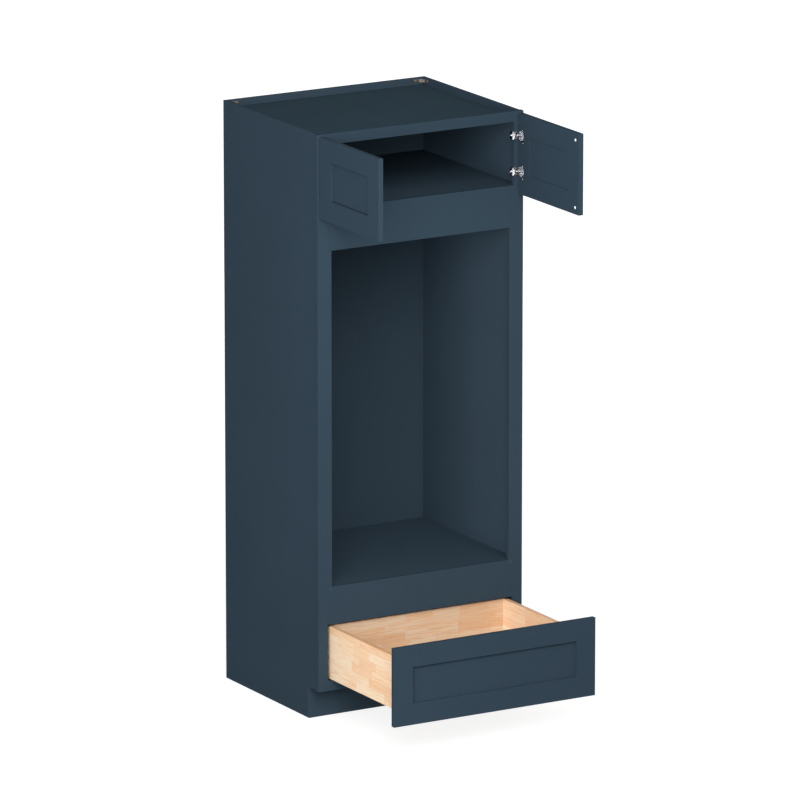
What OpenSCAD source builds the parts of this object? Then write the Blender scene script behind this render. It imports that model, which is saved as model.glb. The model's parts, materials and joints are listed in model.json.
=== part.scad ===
// Tall kitchen cabinet for a built-in oven and microwave: a painted face-frame case with two small
// framed doors above, a large open appliance bay in the middle and one deep drawer below.
// Origin: floor level, in the middle of the back, in the plane of the wall. +Z is up, -Y is the front.

/* [Case] */
// Width across the face frame
cab_w = 838.2; // [700:0.1:1000]
// Height from the floor to the top of the face frame
cab_h = 2133.6; // [2100:0.1:2450]
// Depth from the front of the face frame to the wall
cab_d = 685.8; // [640:0.1:760]
// How far the face frame stands past each side panel
frame_lap = 4.8; // [0:0.1:12]
// Height of the toe recess
toe_h = 114.3; // [90:0.1:130]
// Depth of the toe recess behind the front of the face frame
toe_setback = 79.4; // [50:0.1:110]
// Depth of the open well in the top
top_well = 25.4; // [15:0.1:30]

/* [Panels] */
// Thickness of the side panels
side_t = 12.7; // [9:0.1:19]
// Thickness of the back panel
back_t = 12.7; // [6:0.1:19]
// Thickness of the top, upper and bottom decks
deck_t = 12.7; // [9:0.1:19]
// Thickness of the deck that carries the oven
oven_deck_t = 19; // [16:0.1:25]
// Thickness of the toe board
toe_t = 12.7; // [9:0.1:19]
// Depth of the slots in the side panels that the decks sit in
dado_d = 4; // [2:0.1:6]
// Height of the hanging rail
hang_h = 76.2; // [50:0.1:100]
// Thickness of the hanging rail
hang_t = 12.7; // [9:0.1:19]
// Height of the strips under the oven deck
cleat_h = 38; // [25:0.1:60]
// Width of the strips under the oven deck
cleat_t = 19; // [12:0.1:25]

/* [Face frame] */
// Thickness of the face frame
frame_t = 19; // [16:0.1:25]
// Width of the two outer stiles
frame_stile_w = 38.1; // [34:0.1:50]
// Height of the top rail
top_rail_h = 38.1; // [34:0.1:50]
// Height of the bottom rail
bottom_rail_h = 38.1; // [34:0.1:45]
// Height of the drawer opening
drawer_open_h = 204.8; // [170:0.1:250]
// Height of the rail between the drawer and the appliance bay
lower_rail_h = 138.1; // [100:0.1:200]
// Height of the rail between the appliance bay and the upper cupboard
upper_rail_h = 152.4; // [80:0.1:220]
// Width of the strips that narrow the appliance bay
bay_strip_w = 17.5; // [8:0.1:60]
// Height of the upper cupboard's opening
upper_open_h = 228.6; // [200:0.1:260]

/* [Doors and drawer front] */
// Thickness of the doors and the drawer front
front_t = 19; // [18:0.1:22]
// Frame left bare beside the doors and the drawer front
side_reveal = 7.9; // [5:0.1:10]
// Frame left bare above the doors
top_reveal = 6.4; // [3:0.1:12]
// Overlap of the doors below their opening
door_lap = 31.7; // [20:0.1:40]
// Gap between the two doors
door_gap = 3.2; // [2:0.1:5]
// Overlap of the drawer front above its opening
drawer_lap = 42.8; // [36:0.1:50]
// Width of the stiles and rails of each door and of the drawer front
member_w = 77; // [72:0.1:84]
// Depth of the flat field in front
field_drop = 9.5; // [5:0.1:10]
// Thickness of the flat panels
field_t = 6.3; // [4:0.1:6.5]
// Depth of the grooves that hold the panels
groove_d = 9; // [6:0.1:12]
// Gap between a panel's edge and the bottom of its groove
groove_play = 1.5; // [0.5:0.1:3]

/* [Bumpers] */
// Height of the bumpers, which is the gap behind a closed front
bumper_h = 2.4; // [2:0.1:3]
// Diameter of the bumpers
bumper_d = 11; // [8:0.1:14]
// Distance of a bumper's middle from the free edge
bumper_edge = 23; // [15:0.1:30]
// Distance of a bumper's middle from the top or bottom edge
bumper_end = 25; // [15:0.1:29]

/* [Hinges] */
// Distance from a door's end to the middle of its hinge
hinge_end = 81; // [65:0.1:95]
// Diameter of the hinge cup
cup_d = 35; // [34:0.1:36]
// Depth of the hinge cup
cup_depth = 13.8; // [13.6:0.1:14.5]
// Wood left between the cup and the edge of the door
cup_edge = 2.5; // [2.3:0.1:2.7]
// Thickness of the cup's wall
cup_wall = 1; // [0.8:0.1:1.1]
// Thickness of the cup's floor
cup_floor = 0.8; // [0.6:0.1:0.9]
// Thickness of the cup's flange
flange_t = 1.2; // [0.8:0.1:1.3]
// Distance between the two screws of a cup
cup_screw_pitch = 45; // [43:0.1:48]
// Distance of the cup screws past the middle of the cup
cup_screw_shift = 9.5; // [8:0.1:11]
// Distance from the door's edge to the hinge pin
pin_edge = 6.5; // [6.4:0.1:6.6]
// Depth of the hinge pin below the back of the door
pin_depth = 10; // [9.9:0.1:10.1]
// Diameter of the hinge pin
pin_d = 2; // [1.8:0.1:2.2]
// Radial running clearance of the hinge pin
pin_play = 0.05; // [0.03:0.01:0.08]
// Outer diameter of the eye on the pin
eye_d = 4.4; // [4:0.1:4.5]
// Height of the eye and of the tongue behind it
eye_h = 8; // [6:0.1:8.4]
// Thickness of the plate on the frame's edge
plate_t = 2; // [1.5:0.1:2.5]
// Height of the plate on the frame's edge
plate_h = 30; // [29:0.1:34]

/* [Drawer box] */
// Length of the drawer box, front to back
box_len = 533.4; // [450:0.1:560]
// Thickness of the box's boards
box_t = 15.9; // [12:0.1:19]
// Gap between the box and the opening at each side
box_side_gap = 12.7; // [8:0.1:18]
// Gap between the box and the bottom rail
box_lift = 3.2; // [2:0.1:6]
// Gap between the box and the top of the opening
box_top_gap = 8; // [4:0.1:14]
// Thickness of the box's bottom
box_bottom_t = 6.3; // [5:0.1:9]
// Height of the box's bottom above the lower edges of its sides
box_bottom_lift = 12.7; // [11:0.1:14]
// Depth of the grooves for the box's bottom
box_groove_d = 6; // [4:0.1:8]
// Number of dovetails at each corner
tail_n = 5; // [3:1:7]

/* [Slides] */
// Width of a slide
slide_w = 28; // [24:0.1:34]
// Sheet thickness of a slide
slide_wall = 1.5; // [1.2:0.1:1.6]
// Width of the slot along a slide
slide_slot = 14; // [10:0.1:16]
// Running gap inside a slide
slide_play = 0.5; // [0.3:0.1:0.6]
// Gap between the lower and the upper channel of a slide
slide_gap = 1.5; // [1:0.1:2]
// Distance from a box side to its slide
slide_inset = 9; // [4:0.1:30]
// Length of the middle member of a slide
middle_len = 420; // [380:1:440]
// Length of the lock at the front of a slide
lock_len = 30; // [26:0.1:40]

/* [Pose] */
// Opening angle of the doors
door_open = 90; // [0:1:105]
// Distance that the drawer is pulled out
drawer_out = 497.2; // [0:0.1:533]

/* [Hidden] */
$fn = 48;

// Overrun of every cut past the face that it starts from
over = 1;
// Finishes
paint = [0.16, 0.25, 0.32];
inside_paint = [0.14, 0.22, 0.28];
birch = [0.93, 0.78, 0.58];
nickel = [0.78, 0.78, 0.76];
clear = [0.93, 0.94, 0.94];
lock_colour = [0.55, 0.57, 0.58];

// Planes and edges of the case
front_y = -cab_d;
frame_back_y = front_y + frame_t;
case_x = cab_w / 2 - frame_lap;
inner_x = case_x - side_t;
open_x = cab_w / 2 - frame_stile_w;
back_y = -back_t;
toe_y = front_y + toe_setback;
drawer_open_z = toe_h + bottom_rail_h;
lower_rail_z = drawer_open_z + drawer_open_h;
sill_z = lower_rail_z + lower_rail_h;
upper_open_z = cab_h - top_rail_h - upper_open_h;
bay_top_z = upper_open_z - upper_rail_h;
top_rail_z = cab_h - top_rail_h;
top_panel_z = cab_h - top_well - deck_t;
top_panel_top = cab_h - top_well;

// Wood screws: shank and head radius, head height, clearance in their holes and room round a head
screw_r = 1.8;
screw_head_r = 3.4;
screw_head_h = 1.6;
screw_play = 0.1;
screw_room = 1;
short_screw = 10;
long_screw = 28;

// Corner braces in the well of the top
brace_t = 1.6;
brace_h = 11;
brace_drop = 6;
brace_near = 16;
brace_far = 42;
brace_hole = 33;

// Doors, in their closed place
door_w = cab_w / 2 - side_reveal - door_gap / 2;
door_x = -cab_w / 2 + side_reveal;
door_back_y = front_y - bumper_h;
door_face_y = door_back_y - front_t;
door_z = upper_open_z - door_lap;
door_h = cab_h - top_reveal - door_z;
hinge_zs = [door_z + hinge_end, door_z + door_h - hinge_end];
pivot_x = door_x + pin_edge;
pivot_y = door_back_y - pin_depth;

// Hinge cup and arm
cup_r = cup_d / 2;
cup_x = door_x + cup_edge + cup_r;
cup_play = 0.1;
pocket_r = cup_r - cup_wall;
pocket_floor_y = door_back_y - cup_depth + cup_floor;
flange_lip = 1;
flange_r = cup_r + flange_lip;
flange_bar_w = 12;
cup_screw_x = cup_x + cup_screw_shift;
lug_t = 2.4;
lug_gap = 0.3;
lug_w = 4.4;
nest_gap = 0.9;
nest_r = pocket_r - nest_gap;
floor_gap = 0.6;
arm_low_y = pocket_floor_y + floor_gap;
tongue_t = 1.4;
tongue_len = 12.6;
boss_rise = 8;
boss_h = 14;
leg_h = 17;
plate_x = -open_x;
plate_inset = 1;
plate_back_y = frame_back_y - plate_inset;
wrap_t = 0.8;
wrap_w = 10.5;
wrap_h = 28;
block_t = 5.5;
block_h = 28;
block_inset = 1;
disc_r = 7;
disc_h = 1.5;
plate_top = plate_t + block_t + disc_h;

// Drawer front and box, in their closed place
drawer_front_w = cab_w - 2 * side_reveal;
drawer_front_z = toe_h;
drawer_front_h = bottom_rail_h + drawer_open_h + drawer_lap;
box_x = open_x - box_side_gap;
box_z = drawer_open_z + box_lift;
box_h = drawer_open_h - box_lift - box_top_gap;
box_front_y = door_back_y;
box_back_y = box_front_y + box_len;
box_bottom_z = box_z + box_bottom_lift;
tail_pitch = box_h / tail_n;
tail_wide_share = 0.66;
tail_narrow_share = 0.46;

// Slides
slide_x = box_x - box_t - slide_inset - slide_w / 2;
slide_stack = box_lift + box_bottom_lift;
channel_h = (slide_stack - slide_gap) / 2;
rail_gap = 2;
rail_y = frame_back_y + rail_gap;
rail_len = box_back_y - rail_y;
middle_travel_share = 0.5;
middle_y = rail_y + (rail_len - middle_len) / 2;
foot_h = channel_h - 2 * slide_wall - 2 * slide_play;
foot_w = slide_w - 2 * slide_wall - 2 * slide_play;
neck_w = slide_slot - 2 * slide_play;
rail_screw_shares = [0.08, 0.5, 0.92];

// Locks under the front of the drawer and their levers
lock_w = 44;
lock_plate_t = 2.5;
lock_body_w = 28;
lock_h = slide_stack - channel_h - slide_play;
lock_y = box_front_y + box_t;
lock_screw_x = (lock_w + lock_body_w) / 4;
lever_t = 4;
lever_play = 0.3;
lever_pin_r = 1.5;
lever_eye_r = 5;
lever_tip_r = 5.5;
lever_arm_w = 7;
lever_reach = 42;
lever_land = 2;
lever_pin_x = lock_body_w / 2 - lever_eye_r - lever_land;
lever_pin_y = lock_len - lever_eye_r - lever_land;
runner_gap = 1;
runner_y = lock_y + lock_len + runner_gap;

// Screws that hold the drawer front to its box
front_screw_x = box_x / 2;
front_screw_low_z = box_bottom_z + box_bottom_t + screw_head_r + screw_room;
front_screw_high_z = drawer_front_z + drawer_front_h - member_w + groove_d + screw_head_r + screw_room;

// A board from its low corner and its size
module board(low, size) {
    translate(low)
        cube(size);
}

// The same thing on the left, or mirrored to the right
module on_side(side) {
    if (side < 0) {
        children();
    } else {
        mirror([1, 0, 0])
            children();
    }
}

// A wood screw: its head stands on the plane z = 0 and its shank runs down
module wood_screw(length) {
    cylinder(r = screw_head_r, h = screw_head_h);
    translate([0, 0, -length])
        cylinder(r = screw_r, h = length + screw_head_h / 2);
}

// The hole for such a screw
module screw_hole(length) {
    translate([0, 0, -length - over])
        cylinder(r = screw_r + screw_play, h = length + 2 * over);
}

// A screw whose head is sunk in a sheet of metal that lies on the plane z = 0
module flat_screw(length, sheet_t) {
    cylinder(r1 = screw_r, r2 = screw_head_r, h = sheet_t);
    translate([0, 0, -length])
        cylinder(r = screw_r, h = length + sheet_t / 2);
}

// The hole for it in the sheet
module flat_hole(sheet_t) {
    cylinder(r1 = screw_r + screw_play, r2 = screw_head_r + screw_play, h = sheet_t);
    translate([0, 0, sheet_t])
        cylinder(r = screw_head_r + screw_play, h = over);
    translate([0, 0, -over])
        cylinder(r = screw_r + screw_play, h = over + sheet_t / 2);
}

// Case
module deck(z, t, near_y) {
    board([-inner_x - dado_d, near_y, z], [2 * (inner_x + dado_d), back_y - near_y, t]);
}

module dados() {
    for (slot = [[top_panel_z, deck_t], [upper_open_z - deck_t, deck_t],
            [sill_z - oven_deck_t, oven_deck_t], [drawer_open_z - deck_t, deck_t]]) {
        board([-inner_x - dado_d, frame_back_y - over, slot[0]],
            [dado_d + over, back_y - frame_back_y + over, slot[1]]);
    }
}

module side_panel(side) {
    color(paint) on_side(side)
        difference() {
            board([-case_x, frame_back_y, 0], [side_t, -frame_back_y, cab_h]);
            board([-case_x - over, frame_back_y - over, -over],
                [side_t + 2 * over, toe_y + toe_t - frame_back_y + over, toe_h + over]);
            dados();
            translate([-inner_x, back_y - brace_hole, cab_h - brace_drop - brace_h / 2])
                rotate([0, 90, 0])
                    screw_hole(short_screw);
        }
}

module left_side_panel() {
    side_panel(-1);
}

module right_side_panel() {
    side_panel(1);
}

module back_panel() {
    color(paint)
        difference() {
            board([-inner_x, back_y, 0], [2 * inner_x, back_t, cab_h]);
            for (side = [-1, 1]) {
                translate([side * (inner_x - brace_hole), back_y, cab_h - brace_drop - brace_h / 2])
                    rotate([90, 0, 0])
                        screw_hole(short_screw);
            }
        }
}

module top_panel() {
    color(paint) deck(top_panel_z, deck_t, frame_back_y);
}

module upper_deck() {
    color(inside_paint) deck(upper_open_z - deck_t, deck_t, frame_back_y);
}

module oven_deck() {
    color(inside_paint) deck(sill_z - oven_deck_t, oven_deck_t, frame_back_y);
}

module bottom_deck() {
    color(inside_paint)
        difference() {
            deck(drawer_open_z - deck_t, deck_t, frame_back_y);
            at_rail_screws()
                screw_hole(short_screw);
        }
}

module toe_kick_board() {
    color(paint)
        union() {
            board([-case_x, toe_y, 0], [2 * case_x, toe_t, toe_h]);
            board([-inner_x, toe_y, 0], [2 * inner_x, toe_t, drawer_open_z - deck_t]);
        }
}

module hanging_rail() {
    color(inside_paint)
        board([-inner_x, back_y - hang_t, top_panel_z - hang_h], [2 * inner_x, hang_t, hang_h]);
}

module oven_deck_cleat(side) {
    color(inside_paint) on_side(side)
        board([-inner_x, frame_back_y, sill_z - oven_deck_t - cleat_h],
            [cleat_t, back_y - frame_back_y, cleat_h]);
}

module left_oven_deck_cleat() {
    oven_deck_cleat(-1);
}

module right_oven_deck_cleat() {
    oven_deck_cleat(1);
}

// Face frame
module frame_stile(side) {
    color(paint) on_side(side)
        difference() {
            board([-cab_w / 2, front_y, toe_h], [frame_stile_w, frame_t, cab_h - toe_h]);
            at_plate_screws()
                screw_hole(short_screw);
        }
}

module frame_rail(z, h) {
    color(paint) board([-open_x, front_y, z], [2 * open_x, frame_t, h]);
}

module left_frame_stile() {
    frame_stile(-1);
}

module right_frame_stile() {
    frame_stile(1);
}

module top_frame_rail() {
    frame_rail(top_rail_z, top_rail_h);
}

module upper_frame_rail() {
    frame_rail(bay_top_z, upper_rail_h);
}

module lower_frame_rail() {
    frame_rail(lower_rail_z, lower_rail_h);
}

module bottom_frame_rail() {
    frame_rail(toe_h, bottom_rail_h);
}

module bay_strip(side) {
    color(paint) on_side(side)
        board([-open_x, front_y, sill_z], [bay_strip_w, frame_t, bay_top_z - sill_z]);
}

module left_bay_strip() {
    bay_strip(-1);
}

module right_bay_strip() {
    bay_strip(1);
}

// A strip of steel across the corner, with a tab along each wall
module corner_brace(side) {
    bend = brace_t * (sqrt(2) - 1);
    color(nickel) on_side(side)
        translate([-inner_x, back_y, cab_h - brace_drop - brace_h])
            difference() {
                linear_extrude(brace_h)
                    polygon([[brace_far, 0], [brace_near, 0], [0, -brace_near], [0, -brace_far],
                        [brace_t, -brace_far], [brace_t, -brace_near - bend],
                        [brace_near + bend, -brace_t], [brace_far, -brace_t]]);
                translate([brace_hole, -brace_t, brace_h / 2])
                    rotate([90, 0, 0])
                        screw_hole(2 * brace_t);
                translate([brace_t, -brace_hole, brace_h / 2])
                    rotate([0, 90, 0])
                        screw_hole(2 * brace_t);
            }
}

module corner_braces() {
    corner_brace(-1);
    corner_brace(1);
}

// Every screw that is driven into the case
module cabinet_screws() {
    color(nickel) {
        for (side = [-1, 1]) {
            on_side(side) {
                translate([-inner_x, back_y, cab_h - brace_drop - brace_h / 2]) {
                    translate([brace_hole, -brace_t, 0])
                        rotate([90, 0, 0])
                            wood_screw(short_screw);
                    translate([brace_t, -brace_hole, 0])
                        rotate([0, 90, 0])
                            wood_screw(short_screw);
                }
                at_plate_screws()
                    translate([0, 0, plate_top])
                        wood_screw(plate_top + short_screw);
            }
        }
        at_rail_screws()
            flat_screw(short_screw, slide_wall);
    }
}

// Framed fronts. A front is w by h, its outer face is y = 0 and its low corner is the origin
module front_stile(h) {
    difference() {
        cube([member_w, front_t, h]);
        board([member_w - groove_d, field_drop, -over], [groove_d + over, field_t, h + 2 * over]);
    }
}

module front_rail(w) {
    difference() {
        union() {
            board([member_w, 0, 0], [w - 2 * member_w, front_t, member_w]);
            board([member_w - groove_d, field_drop, 0], [w - 2 * (member_w - groove_d), field_t, member_w]);
        }
        board([0, field_drop, member_w - groove_d], [w, field_t, groove_d + over]);
    }
}

module front_field(w, h) {
    inset = member_w - groove_d + groove_play;
    board([inset, field_drop, inset], [w - 2 * inset, field_t, h - 2 * inset]);
}

// Turns a rail or a stile that belongs on the low side of a front over to its high side
module to_top(h) {
    translate([0, 0, h])
        mirror([0, 0, 1])
            children();
}

module to_right(w) {
    translate([w, 0, 0])
        mirror([1, 0, 0])
            children();
}

// Doors. Each is drawn closed, on the left, and turned about its hinge pins
module swing() {
    translate([pivot_x, pivot_y, 0])
        rotate(-door_open)
            translate([-pivot_x, -pivot_y, 0])
                children();
}

module hung(side) {
    on_side(side)
        swing()
            children();
}

module in_door(side) {
    hung(side)
        translate([door_x, door_face_y, door_z])
            children();
}

module at_cup_screws() {
    for (z = hinge_zs) {
        for (end = [-1, 1]) {
            translate([cup_screw_x, door_back_y, z + end * cup_screw_pitch / 2])
                rotate([-90, 0, 0])
                    children();
        }
    }
}

module door_hinge_stile(side) {
    color(paint) hung(side)
        difference() {
            translate([door_x, door_face_y, door_z])
                front_stile(door_h);
            for (z = hinge_zs) {
                translate([cup_x, door_back_y + over, z])
                    rotate([90, 0, 0])
                        cylinder(r = cup_r + cup_play, h = cup_depth + cup_play + over);
            }
            at_cup_screws()
                screw_hole(short_screw);
        }
}

module door_lock_stile(side) {
    color(paint) in_door(side)
        to_right(door_w)
            front_stile(door_h);
}

module door_bottom_rail(side) {
    color(paint) in_door(side)
        front_rail(door_w);
}

module door_top_rail(side) {
    color(paint) in_door(side)
        to_top(door_h)
            front_rail(door_w);
}

module door_panel(side) {
    color(paint) in_door(side)
        front_field(door_w, door_h);
}

module bumper() {
    rotate([-90, 0, 0])
        cylinder(d = bumper_d, h = bumper_h);
}

module door_bumpers(side) {
    color(clear) in_door(side) {
        for (z = [bumper_end, door_h - bumper_end]) {
            translate([door_w - bumper_edge, front_t, z])
                bumper();
        }
    }
}

// The cup, its flange and the pin across it
module hinge_cup(z) {
    difference() {
        union() {
            translate([cup_x, door_back_y, z])
                rotate([90, 0, 0])
                    cylinder(r = cup_r, h = cup_depth);
            translate([cup_x, door_back_y, z])
                rotate([-90, 0, 0])
                    cylinder(r = flange_r, h = flange_t);
            board([cup_screw_x - flange_bar_w / 2, door_back_y, z - cup_screw_pitch / 2],
                [flange_bar_w, flange_t, cup_screw_pitch]);
            for (end = [-1, 1]) {
                translate([cup_screw_x, door_back_y, z + end * cup_screw_pitch / 2])
                    rotate([-90, 0, 0])
                        cylinder(r = flange_bar_w / 2, h = flange_t);
            }
        }
        translate([cup_x, door_back_y + flange_t + over, z])
            rotate([90, 0, 0])
                cylinder(r = pocket_r, h = flange_t + over + door_back_y - pocket_floor_y);
        for (end = [-1, 1]) {
            translate([cup_screw_x, door_back_y, z + end * cup_screw_pitch / 2])
                rotate([-90, 0, 0])
                    flat_hole(flange_t);
        }
    }
    for (end = [-1, 1]) {
        translate([pivot_x, 0, z + end * (eye_h / 2 + lug_gap + lug_t / 2)])
            board([-lug_w / 2, pocket_floor_y, -lug_t / 2],
                [lug_w, pivot_y + lug_w / 2 - pocket_floor_y, lug_t]);
    }
    translate([pivot_x, pivot_y, z])
        cylinder(d = pin_d, h = eye_h + 2 * (lug_gap + lug_t / 2), center = true);
}

module hinge_cups(side) {
    color(nickel) hung(side) {
        for (z = hinge_zs) {
            hinge_cup(z);
        }
    }
}

module door_screws(side) {
    color(nickel) hung(side)
        at_cup_screws()
            flat_screw(short_screw, flange_t);
}

module at_plate_screw(z) {
    translate([plate_x, (front_y + plate_back_y) / 2, z])
        rotate([0, 90, 0])
            children();
}

module at_plate_screws() {
    for (z = hinge_zs) {
        at_plate_screw(z)
            children();
    }
}

// The arm: an eye on the pin, a thin tongue out of the cup, a boss that nests in the cup when the
// door is shut, and a plate that wraps the inner edge of the stile. On the plate lies a block with a
// disc, and one screw goes through them all
module hinge_arm(z) {
    difference() {
        union() {
            translate([pivot_x, pivot_y, z])
                cylinder(d = eye_d, h = eye_h, center = true);
            board([pivot_x, arm_low_y, z - eye_h / 2], [plate_x - pivot_x, tongue_t, eye_h]);
            intersection() {
                board([pivot_x + tongue_len, arm_low_y, z - boss_h / 2],
                    [plate_x + plate_t - pivot_x - tongue_len, boss_rise, boss_h]);
                translate([cup_x, door_back_y + over, z])
                    rotate([90, 0, 0])
                        cylinder(r = nest_r, h = cup_depth + over);
            }
            board([plate_x, arm_low_y, z - leg_h / 2], [plate_t, front_y - arm_low_y + over, leg_h]);
            board([plate_x, front_y, z - plate_h / 2], [plate_t, plate_back_y - front_y, plate_h]);
            board([plate_x - wrap_w, front_y - wrap_t, z - wrap_h / 2], [wrap_w + plate_t, wrap_t, wrap_h]);
            board([plate_x, front_y + block_inset, z - block_h / 2],
                [plate_t + block_t, plate_back_y - front_y - 2 * block_inset, block_h]);
            at_plate_screw(z)
                cylinder(r = disc_r, h = plate_top);
        }
        translate([pivot_x, pivot_y, z])
            cylinder(r = pin_d / 2 + pin_play, h = eye_h + 2 * over, center = true);
        at_plate_screw(z)
            translate([0, 0, plate_top])
                screw_hole(plate_top);
    }
}

module hinge_arms(side) {
    color(nickel) on_side(side) {
        for (z = hinge_zs) {
            hinge_arm(z);
        }
    }
}

module left_door_hinge_stile() {
    door_hinge_stile(-1);
}

module left_door_lock_stile() {
    door_lock_stile(-1);
}

module left_door_top_rail() {
    door_top_rail(-1);
}

module left_door_bottom_rail() {
    door_bottom_rail(-1);
}

module left_door_panel() {
    door_panel(-1);
}

module left_door_bumpers() {
    door_bumpers(-1);
}

module left_hinge_cups() {
    hinge_cups(-1);
}

module left_hinge_arms() {
    hinge_arms(-1);
}

module left_door_screws() {
    door_screws(-1);
}

module right_door_hinge_stile() {
    door_hinge_stile(1);
}

module right_door_lock_stile() {
    door_lock_stile(1);
}

module right_door_top_rail() {
    door_top_rail(1);
}

module right_door_bottom_rail() {
    door_bottom_rail(1);
}

module right_door_panel() {
    door_panel(1);
}

module right_door_bumpers() {
    door_bumpers(1);
}

module right_hinge_cups() {
    hinge_cups(1);
}

module right_hinge_arms() {
    hinge_arms(1);
}

module right_door_screws() {
    door_screws(1);
}

// Drawer. Each piece is drawn with the drawer shut and pulled out by drawer_out
module pulled(share = 1) {
    translate([0, -drawer_out * share, 0])
        children();
}

module in_drawer_front() {
    pulled()
        translate([-drawer_front_w / 2, door_face_y, drawer_front_z])
            children();
}

module at_front_screws() {
    for (side = [-1, 1]) {
        for (z = [front_screw_low_z, front_screw_high_z]) {
            translate([side * front_screw_x, box_front_y + box_t, z])
                rotate([-90, 0, 0])
                    children();
        }
    }
}

module drawer_front_left_stile() {
    color(paint) in_drawer_front()
        front_stile(drawer_front_h);
}

module drawer_front_right_stile() {
    color(paint) in_drawer_front()
        to_right(drawer_front_w)
            front_stile(drawer_front_h);
}

module front_screw_cut() {
    pulled()
        at_front_screws()
            screw_hole(long_screw);
}

module drawer_front_bottom_rail() {
    color(paint)
        difference() {
            in_drawer_front()
                front_rail(drawer_front_w);
            front_screw_cut();
        }
}

module drawer_front_top_rail() {
    color(paint)
        difference() {
            in_drawer_front()
                to_top(drawer_front_h)
                    front_rail(drawer_front_w);
            front_screw_cut();
        }
}

module drawer_front_panel() {
    color(paint) in_drawer_front()
        front_field(drawer_front_w, drawer_front_h);
}

module drawer_bumpers() {
    color(clear) in_drawer_front() {
        for (x = [bumper_edge, drawer_front_w - bumper_edge]) {
            for (z = [bumper_end, drawer_front_h - bumper_end]) {
                translate([x, front_t, z])
                    bumper();
            }
        }
    }
}

// Dovetails: the tails are on the ends of the sides, wide at the tip, in the plane of the side. Each
// runs on past its root, into the side. mid is the tail's height, end_y its tip and way its direction
module tail(mid, end_y, way) {
    wide = tail_pitch * tail_wide_share / 2;
    narrow = tail_pitch * tail_narrow_share / 2;
    root_y = end_y + way * box_t;
    polygon([[mid - wide, end_y], [mid + wide, end_y], [mid + narrow, root_y],
        [mid + narrow, root_y + way * over], [mid - narrow, root_y + way * over], [mid - narrow, root_y]]);
}

module tails() {
    translate([-box_x + box_t, 0, 0])
        rotate([0, -90, 0])
            linear_extrude(box_t) {
                for (i = [0 : tail_n - 1]) {
                    tail(box_z + (i + 0.5) * tail_pitch, box_front_y, 1);
                    tail(box_z + (i + 0.5) * tail_pitch, box_back_y, -1);
                }
            }
}

module drawer_side(side) {
    color(birch) pulled() on_side(side)
        difference() {
            union() {
                board([-box_x, box_front_y + box_t, box_z], [box_t, box_len - 2 * box_t, box_h]);
                tails();
            }
            board([-box_x + box_t - box_groove_d, box_front_y + box_t - box_groove_d, box_bottom_z],
                [box_groove_d + over, box_len - 2 * (box_t - box_groove_d), box_bottom_t]);
        }
}

module drawer_left_side() {
    drawer_side(-1);
}

module drawer_right_side() {
    drawer_side(1);
}

// A board across the box, with the tails' sockets in its ends
module cross_board(near_y) {
    difference() {
        board([-box_x, near_y, box_z], [2 * box_x, box_t, box_h]);
        for (side = [-1, 1]) {
            on_side(side)
                tails();
        }
    }
}

module drawer_box_front() {
    color(birch) pulled()
        difference() {
            cross_board(box_front_y);
            board([-box_x + box_t - box_groove_d, box_front_y + box_t - box_groove_d, box_bottom_z],
                [2 * (box_x - box_t + box_groove_d), box_groove_d + over, box_bottom_t]);
            at_front_screws()
                screw_hole(long_screw);
            at_lock_screws()
                screw_hole(short_screw);
        }
}

module drawer_box_back() {
    color(birch) pulled()
        difference() {
            cross_board(box_back_y - box_t);
            board([-box_x + box_t - box_groove_d, box_back_y - box_t - over, box_bottom_z],
                [2 * (box_x - box_t + box_groove_d), box_groove_d + over, box_bottom_t]);
            for (side = [-1, 1]) {
                board([side * slide_x - slide_w / 2 - slide_gap, box_back_y - box_t - over, box_z - over],
                    [slide_w + 2 * slide_gap, box_t + 2 * over, box_bottom_lift + over]);
            }
        }
}

module drawer_bottom() {
    tuck = box_groove_d - groove_play;
    color(birch) pulled()
        board([-box_x + box_t - tuck, box_front_y + box_t - tuck, box_bottom_z],
            [2 * (box_x - box_t + tuck), box_len - 2 * (box_t - tuck), box_bottom_t]);
}

module at_lock_screws() {
    for (side = [-1, 1]) {
        for (end = [-1, 1]) {
            translate([side * slide_x + end * lock_screw_x, lock_y, box_bottom_z - lock_h / 2])
                rotate([-90, 0, 0])
                    children();
        }
    }
}

module drawer_screws() {
    color(nickel) pulled() {
        at_front_screws()
            wood_screw(long_screw);
        at_lock_screws()
            translate([0, 0, lock_plate_t])
                wood_screw(short_screw);
    }
}

// The locks: plastic blocks with a screwed plate in front, each with a slot and a pin for its lever
module drawer_lock(side) {
    low_z = box_bottom_z - lock_h;
    slot_h = lever_t + 2 * lever_play;
    slot_x = lever_pin_x - lever_eye_r - lever_play;
    slot_y = lever_pin_y - lever_eye_r - lever_play;
    difference() {
        translate([side * slide_x, lock_y, low_z]) {
            board([-lock_body_w / 2, 0, 0], [lock_body_w, lock_len, lock_h]);
            board([-lock_w / 2, 0, 0], [lock_w, lock_plate_t, lock_h]);
        }
        at_lock_screws()
            translate([0, 0, lock_plate_t])
                screw_hole(lock_plate_t);
        translate([side * slide_x, lock_y, low_z])
            on_side(side)
                board([slot_x, slot_y, (lock_h - slot_h) / 2], [lock_w, lock_len, slot_h]);
    }
    translate([side * (slide_x - lever_pin_x), lock_y + lever_pin_y, low_z])
        cylinder(r = lever_pin_r, h = lock_h);
}

module drawer_locks() {
    color(lock_colour) pulled() {
        for (side = [-1, 1]) {
            drawer_lock(side);
        }
    }
}

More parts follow.
